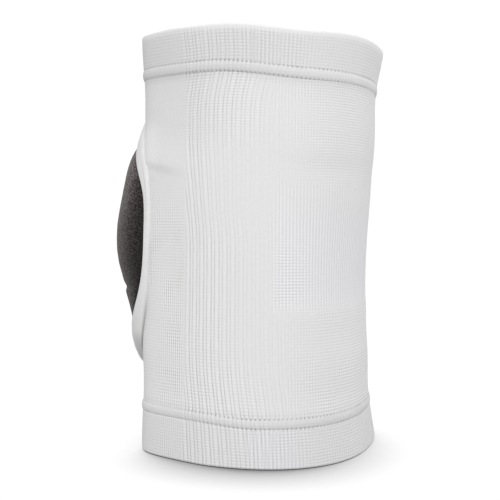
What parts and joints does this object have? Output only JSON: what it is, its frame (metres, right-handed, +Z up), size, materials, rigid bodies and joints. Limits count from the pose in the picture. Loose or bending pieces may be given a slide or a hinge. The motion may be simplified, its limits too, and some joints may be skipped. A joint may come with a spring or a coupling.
{
  "type": "wrestling knee pad",
  "caption": "Knitted tubular knee sleeve with ribbed sides, stitched turned hems and a domed padded front, worn over the knee.",
  "frame": {"origin": "on the floor at the centre of the bounding box, inside the lower hem", "axes": "+Z up the leg from the lower hem to the top hem, -Y to the padded front of the knee, +X to the side nearest the picture's camera"},
  "size_m": [0.1296, 0.1498, 0.221],
  "materials": {
    "white_knit": "white stretch knit, ribbed at the sides",
    "hem_knit": "white doubled knit with cover stitching",
    "border_knit": "white knit over foam",
    "pad_fabric": "charcoal brushed fabric over foam"
  },
  "bodies": {
    "root": {"knit_sleeve": "white_knit", "top_hem": "hem_knit", "bottom_hem": "hem_knit", "pad_border": "border_knit", "pad": "pad_fabric"}
  },
  "joints": []
}
